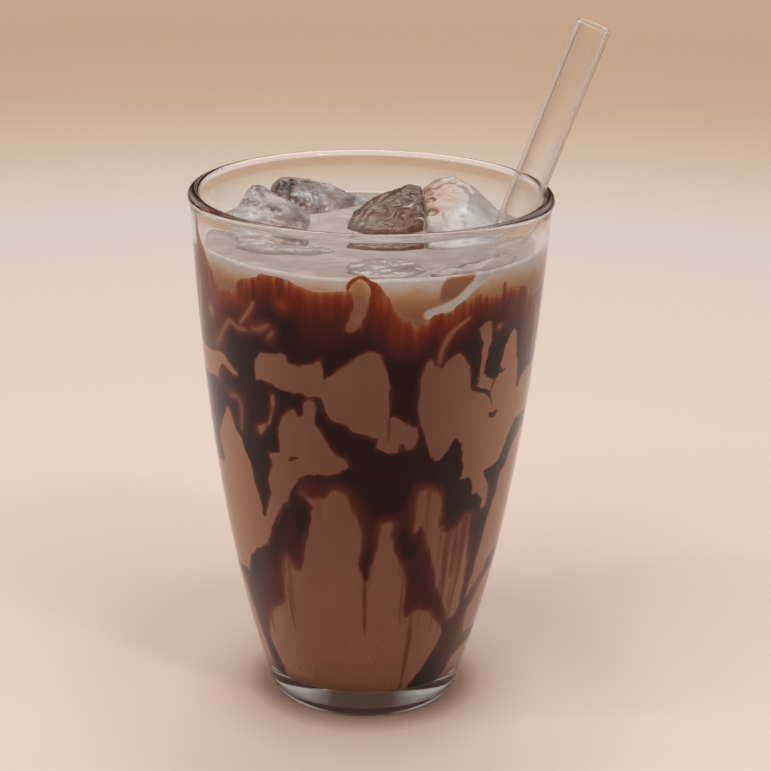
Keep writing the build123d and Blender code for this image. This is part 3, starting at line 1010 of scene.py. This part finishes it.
# The floor from the glass's axis out to ramp_reach metres: painted shadow round its foot, then paper.
floor_with_painted_shadow = [(0.0150, (140, 114, 100)), (0.0185, (146, 114, 98)), (0.0210, (192, 166, 151)),
              (0.025, (212, 190, 176)), (0.035, (219, 199, 185)), (0.048, (217, 197, 183)),
              (0.062, (223, 203, 191)), (0.1, (222, 204, 193)), (0.2, (219, 201, 191)),
              (0.36, (211, 201, 195)), (0.47, (206, 188, 172)), (0.62, (197, 171, 147)),
              (0.9, (190, 155, 128))]
ramp_reach = 1.3
floor_end = (0.5, 1.25)    # metres between which the floor turns into the backdrop


def feed(tree, node, inputs):
    """Gives a node's inputs values, or the output sockets that feed them."""
    for name, value in inputs.items():
        if isinstance(value, bpy.types.NodeSocket):
            tree.links.new(value, node.inputs[name])
        else:
            node.inputs[name].default_value = value


def add(tree, kind, inputs=None, output=0, **settings):
    """Adds a node, fed with its inputs, and returns one of its outputs."""
    node = tree.nodes.new("ShaderNode" + kind)
    for name, value in settings.items():
        setattr(node, name, value)
    feed(tree, node, inputs or {})
    return node.outputs[output]


def new_material(name):
    """A material with its node tree and its Principled shader."""
    material = bpy.data.materials.new(name)
    material.use_nodes = True
    return material, material.node_tree, material.node_tree.nodes["Principled BSDF"]


def ramp(tree, source, stops, gain=1.0):
    """Colour at a socket's value, from (position, (r, g, b)) stops."""
    colour = add(tree, "ValToRGB", {"Fac": source})
    elements = colour.node.color_ramp.elements
    while len(elements) < len(stops):
        elements.new(0.5)
    for element, (position, stop) in zip(elements, stops):
        element.position = position
        element.color = rgb(*stop, gain)
    return colour


def noise(tree, scale, detail, stretch=(1, 1, 1)):
    """Noise in object space; scale is in repeats for each metre."""
    place = add(tree, "TexCoord", output="Object")
    stretched = add(tree, "Mapping", {"Vector": place, "Scale": stretch})
    return add(tree, "TexNoise", {"Vector": stretched, "Scale": scale, "Detail": detail}, "Fac")


def stored(tree, name):
    """The number that the mesh stores under a name for each vertex."""
    return add(tree, "Attribute", output="Fac", attribute_name=name)


def mapped(tree, source, low, high, start=0.0, end=1.0, **settings):
    """Turns a socket's start into low and its end into high."""
    limits = {"From Min": start, "From Max": end, "To Min": low, "To Max": high}
    return add(tree, "MapRange", {"Value": source, **limits}, "Result", **settings)


def sum_of(tree, first, second):
    return add(tree, "Math", {0: first, 1: second}, operation="ADD")


def product(tree, first, second):
    return add(tree, "Math", {0: first, 1: second}, operation="MULTIPLY")


def blend(tree, share, first, second):
    """A colour between two, by a share from 0 to 1."""
    return add(tree, "Mix", {0: share, 6: first, 7: second}, 2, data_type="RGBA")


def blend_shaders(tree, share, first, second):
    return add(tree, "MixShader", {0: share, 1: first, 2: second})


def show(tree, shader):
    tree.links.new(shader, tree.nodes["Material Output"].inputs["Surface"])


def let_lamps_through(tree, shader):
    """Light reaches what is inside the glass."""
    shadow = add(tree, "LightPath", output="Is Shadow Ray")
    clear = add(tree, "BsdfTransparent", {"Color": (0.95, 0.95, 0.95, 1)})
    show(tree, blend_shaders(tree, shadow, shader, clear))


def glass_material():
    """Clear glass, a little brown where it is thick."""
    material, tree, shader = new_material("tumbler glass")
    feed(tree, shader, {"Base Color": (0.98, 0.985, 0.98, 1), "Transmission Weight": 1.0,
                        "IOR": glass_ior, "Specular Tint": (0.2, 0.14, 0.12, 1),
                        "Roughness": mapped(tree, noise(tree, 60, 4), 0.0, 0.02)})
    let_lamps_through(tree, shader.outputs["BSDF"])
    body = add(tree, "VolumeAbsorption", {"Color": (0.62, 0.56, 0.50, 1), "Density": 45})
    tree.links.new(body, tree.nodes["Material Output"].inputs["Volume"])
    return material


def straw_material():
    """Thin clear glass with a whitish painted reflection at its edges."""
    material, tree, shader = new_material("straw glass")
    feed(tree, shader, {"Base Color": (0.99, 0.98, 0.97, 1), "Transmission Weight": 1.0,
                        "IOR": straw_ior, "Roughness": mapped(tree, noise(tree, 60, 4), 0.0, 0.06)})
    # Painted reflection: a whitish colour mixed in where the straw turns edge-on.
    milky = add(tree, "BsdfPrincipled", {"Base Color": rgb(176, 158, 146), "Roughness": 0.25})
    edge = mapped(tree, add(tree, "LayerWeight", {"Blend": 0.5}, "Facing"), 0.02, 0.5)
    let_lamps_through(tree, blend_shaders(tree, edge, shader.outputs["BSDF"], milky))
    return material


def coffee_material():
    """Coffee that whitens with its stored milk, with small dark bubbles low on the wall. Painted
    light makes it paler at the glass's sides and along its bottom edge.
    """
    material, tree, shader = new_material("milky coffee")
    cloud = mapped(tree, noise(tree, 200, 5, (1, 1, 0.2)), -0.05, 0.05)
    colour = ramp(tree, sum_of(tree, stored(tree, "milk"), cloud), milk_ramp, coffee_gain)
    # Painted light: paler where the mesh stores pale, at the glass's sides and bottom edge.
    colour = blend(tree, stored(tree, "pale"), colour, painted_light_coffee)
    place = add(tree, "TexCoord", output="Object")
    off_dot = add(tree, "TexVoronoi", {"Vector": place, "Scale": 620}, "Distance")
    dot = mapped(tree, off_dot, 0.6, 0.0, 0.10, 0.22)
    up = add(tree, "SeparateXYZ", {"Vector": place}, "Z")
    low = mapped(tree, up, 1.0, 0.0, 18 * MM, 36 * MM)
    colour = blend(tree, product(tree, dot, low), colour, bubble_colour)
    feed(tree, shader, {"Base Color": colour, "Roughness": 0.35, "Specular IOR Level": 0.17})
    return material


def syrup_material():
    """Near-black where it is thick. Its thin parts are orange-red where it is warm, else brown."""
    material, tree, shader = new_material("chocolate syrup")
    streak = mapped(tree, noise(tree, 300, 3, (1, 1, 0.25)), -0.06, 0.06)
    depth = sum_of(tree, stored(tree, "depth"), streak)
    brown = ramp(tree, depth, brown_syrup, syrup_gain)
    orange = ramp(tree, depth, orange_syrup, syrup_gain)
    colour = blend(tree, stored(tree, "warm"), brown, orange)
    feed(tree, shader, {"Base Color": colour, "Roughness": 0.3, "Specular IOR Level": 0.08})
    return material


def ice_material(name, cloudy, blotches, curls, sheen, tones):
    """Clear ice with cloudy ice in it, whose colour follows the tone, and thin bright curls painted
    on as highlights.
    """
    material, tree, shader = new_material(name)
    frost = noise(tree, 240, 5)
    feed(tree, shader, {"Base Color": (0.95, 0.93, 0.92, 1), "Transmission Weight": 1.0, "IOR": ice_ior,
                        "Specular Tint": (2 * sheen, 2 * sheen, 2 * sheen, 1),
                        "Roughness": mapped(tree, frost, 0.02, 0.14)})
    veins = mapped(tree, noise(tree, 520, 4), -blotches, blotches)
    colour = ramp(tree, sum_of(tree, stored(tree, "tone"), veins), tones, ice_gain)
    # Painted highlight: thin bright curls where the noise is near its middle.
    swirl = add(tree, "Math", {0: noise(tree, 330, 2), 1: 0.5}, operation="SUBTRACT")
    folded = add(tree, "Math", {0: swirl}, operation="ABSOLUTE")
    colour = blend(tree, mapped(tree, folded, curls, 0.0, 0.0, 0.016), colour, painted_glint_curl_colour)
    cloud = add(tree, "BsdfPrincipled", {"Base Color": colour, "Roughness": 0.12, "IOR": ice_ior,
                                         "Specular IOR Level": sheen})
    share = mapped(tree, frost, cloudy - 0.25, cloudy + 0.2)
    let_lamps_through(tree, blend_shaders(tree, share, shader.outputs["BSDF"], cloud))
    return material


def floor_material():
    """Pale paper with a painted shadow round the glass's foot, which turns to a warmer tone far behind the
    glass.
    """
    material, tree, shader = new_material("pale paper")
    place = add(tree, "TexCoord", output="Object")
    away = add(tree, "VectorMath", {0: place}, "Value", operation="LENGTH")
    colour = ramp(tree, mapped(tree, away, 0.0, 1.0, 0.0, ramp_reach), floor_with_painted_shadow, floor_gain)
    grain = add(tree, "Bump", {"Strength": 0.02, "Height": noise(tree, 900, 2)})
    feed(tree, shader, {"Base Color": colour, "Normal": grain, "Roughness": 0.8,
                        "Specular IOR Level": 0.1})
    backdrop = add(tree, "Emission", {"Color": backdrop_colour})
    share = mapped(tree, away, 0.0, 1.0, *floor_end, interpolation_type="SMOOTHSTEP")
    show(tree, blend_shaders(tree, share, shader.outputs["BSDF"], backdrop))
    return material


# ---- build the pieces ----

fine_grid = (0.5, 0.4)     # degrees and millimetres
back_grid = (0.75, 0.6)


def melted(cubes):
    """Pieces of ice by the names of their cubes."""
    return {name: make_ice(name + "_melted", corners, **ice_looks[name])
            for name, corners in cubes.items()}


glass = make_glass()
coffee = make_drink()
syrup = [make_syrup("syrup_front_left", -90, 0, *fine_grid),
         make_syrup("syrup_front_right", 0, 90, *fine_grid),
         make_syrup("syrup_back_right", 90, 180, *back_grid),
         make_syrup("syrup_back_left", 180, 270, *back_grid)]
ice = melted(ice_corners)
awash = melted(awash_corners)
straw = make_straw()

glass_finish = glass_material()
straw_finish = straw_material()
coffee_finish = coffee_material()
syrup_finish = syrup_material()
clear_ice = ice_material("clear ice", 0.6, 0.14, 0.22, 0.5, clear_tones)
ice_finishes = {"ice_left_front": clear_ice,
                "ice_left_back": ice_material("dark ice", 0.7, 0.16, 0.4, 0.4, dark_tones),
                "ice_middle": ice_material("brown ice", 0.88, 0.08, 0.08, 0.22, brown_tones),
                "ice_right": ice_material("cream ice", 0.75, 0.07, 0.12, 0.5, cream_tones)}

finishes = [(glass, glass_finish, "glass"), (coffee, coffee_finish, "coffee"),
            (straw, straw_finish, "straw")]
finishes += [(piece, syrup_finish, "syrup") for piece in syrup]
finishes += [(piece, ice_finishes[name], "ice") for name, piece in ice.items()]
finishes += [(piece, clear_ice, "ice") for piece in awash.values()]
for piece, finish, slot in finishes:
    piece.data.materials.append(finish)
    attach(piece, "root")

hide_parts("glass")
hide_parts("drink")
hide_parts("straw")
for name, piece in ice.items():
    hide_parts(name)

# ---- floor ----

floor_radius = 8.0
bpy.ops.mesh.primitive_circle_add(vertices=96, radius=floor_radius, fill_type="NGON")
floor = bpy.context.object
floor.name = "floor"
floor.data.materials.append(floor_material())

# ---- light ----

studio_ramp = [(0.0, (80, 60, 50)), (0.25, (92, 73, 62)), (0.5, (112, 96, 86)), (0.7, (190, 182, 174)),
               (1.0, (242, 239, 234))]
panel_colour = rgb(236, 238, 240)
lamp_colour = (1.0, 0.99, 0.98)
lamp_aim = Vector((0, 0, 0.06))
lamps = {                  # place and width in metres, power in watts
    "key": ((-0.8, -0.9, 1.5), 1.3, 15),
    "fill": ((0.9, -0.7, 1.5), 1.3, 8),
    "back": ((0.1, 1.1, 1.5), 1.4, 13),
    "sparkle right": ((0.81, -0.9, 1.33), 0.22, 4.5),
    "sparkle left": ((-1.1, -0.36, 1.37), 0.18, 3),
}

world = bpy.data.worlds.new("studio")
bpy.context.scene.world = world
world.use_nodes = True
sky = world.node_tree
direction = add(sky, "TexCoord", output="Generated")
east, north, above = add(sky, "SeparateXYZ", {"Vector": direction}).node.outputs
studio = ramp(sky, above, studio_ramp)
# Two soft panels low behind the glass, left and right, which light up the edges of its foot:
# each edge of them is a direction's start and end.
outward = add(sky, "Math", {0: east}, operation="ABSOLUTE")
panel = mapped(sky, outward, 0.0, 1.0, 0.20, 0.42)
for source, start, end in ((north, 0.0, 0.2), (above, 0.10, 0.22), (above, 0.58, 0.42)):
    panel = product(sky, panel, mapped(sky, source, 0.0, 1.0, start, end))
studio = blend(sky, panel, studio, panel_colour)
seen = add(sky, "LightPath", output="Is Camera Ray")
feed(sky, sky.nodes["Background"], {"Color": blend(sky, seen, studio, backdrop_colour), "Strength": 1.0})

for name, (place, width, power) in lamps.items():
    light = bpy.data.lights.new(name, "AREA")
    light.shape = "DISK"
    light.size = width
    light.energy = power
    light.color = lamp_colour
    lamp = bpy.data.objects.new(name, light)
    lamp.location = place
    lamp.rotation_mode = "QUATERNION"
    lamp.rotation_quaternion = (lamp_aim - lamp.location).to_track_quat("-Z", "Y")
    bpy.context.scene.collection.objects.link(lamp)

# ---- camera ----
# It stands a little above the rim, 445 mm in front of the axis, and looks down at the glass.

camera_place = Vector((0, -444.7, 236.8)) * MM
look_down = math.radians(19.48)
look_right = math.radians(0.55)
camera_roll = math.radians(1.18)
focal_length = 89.66       # on a sensor 36 mm wide
sensor_width = 36.0
nearest_seen = 0.01

forward = Vector((math.sin(look_right) * math.cos(look_down), math.cos(look_right) * math.cos(look_down),
                  -math.sin(look_down)))
right = forward.cross(Vector((0, 0, 1))).normalized()
up = right.cross(forward)
rolled_right = math.cos(camera_roll) * right + math.sin(camera_roll) * up
rolled_up = math.cos(camera_roll) * up - math.sin(camera_roll) * right
lens = bpy.data.cameras.new("camera")
lens.sensor_width = sensor_width
lens.lens = focal_length
lens.clip_start = nearest_seen
camera = bpy.data.objects.new("camera", lens)
turn = Matrix((rolled_right, rolled_up, -forward)).transposed()
camera.matrix_world = Matrix.Translation(camera_place) @ turn.to_4x4()
bpy.context.scene.collection.objects.link(camera)
bpy.context.scene.camera = camera
bpy.context.scene.view_settings.view_transform = "Standard"
